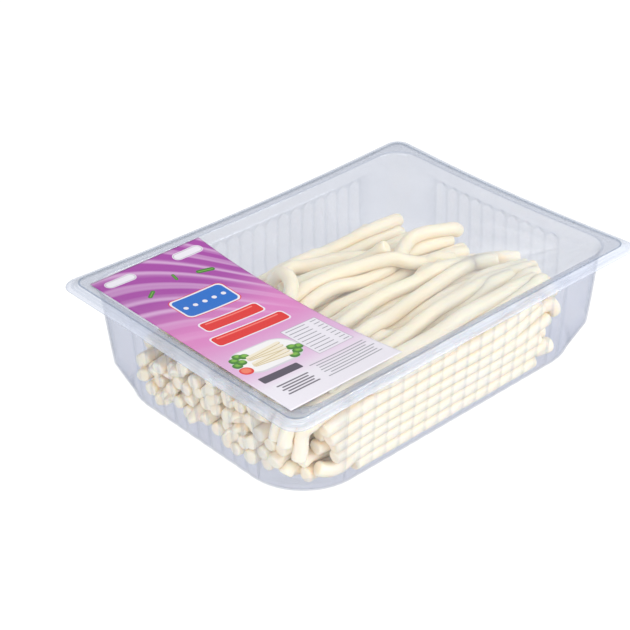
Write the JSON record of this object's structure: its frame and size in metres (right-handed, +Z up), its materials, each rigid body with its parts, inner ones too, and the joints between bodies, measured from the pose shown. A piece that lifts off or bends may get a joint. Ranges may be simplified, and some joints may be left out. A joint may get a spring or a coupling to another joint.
{
  "type": "tray of string cheese",
  "caption": "Sealed clear catering tray with fluted walls and a wide rim, filled with long round strands of pale string cheese under a clear film lid with a printed label at one end.",
  "frame": {"origin": "on the tray's underside, below the middle of the whole pack", "axes": "+X along the tray's long side, away from the label; +Y from the near long side to the far one; +Z up through the film"},
  "size_m": [0.3249, 0.24, 0.0838],
  "materials": {
    "clear_tray": "clear, faintly blue, glossy thermoformed sheet",
    "clear_film": "clear glossy sealing film",
    "printed_label": "satin printed paper, magenta fading to white",
    "string_cheese": "moist, softly translucent, cream white"
  },
  "bodies": {
    "root": {"tray": "clear_tray", "film_lid": "clear_film", "label": "printed_label", "cheese": "string_cheese"}
  },
  "joints": []
}
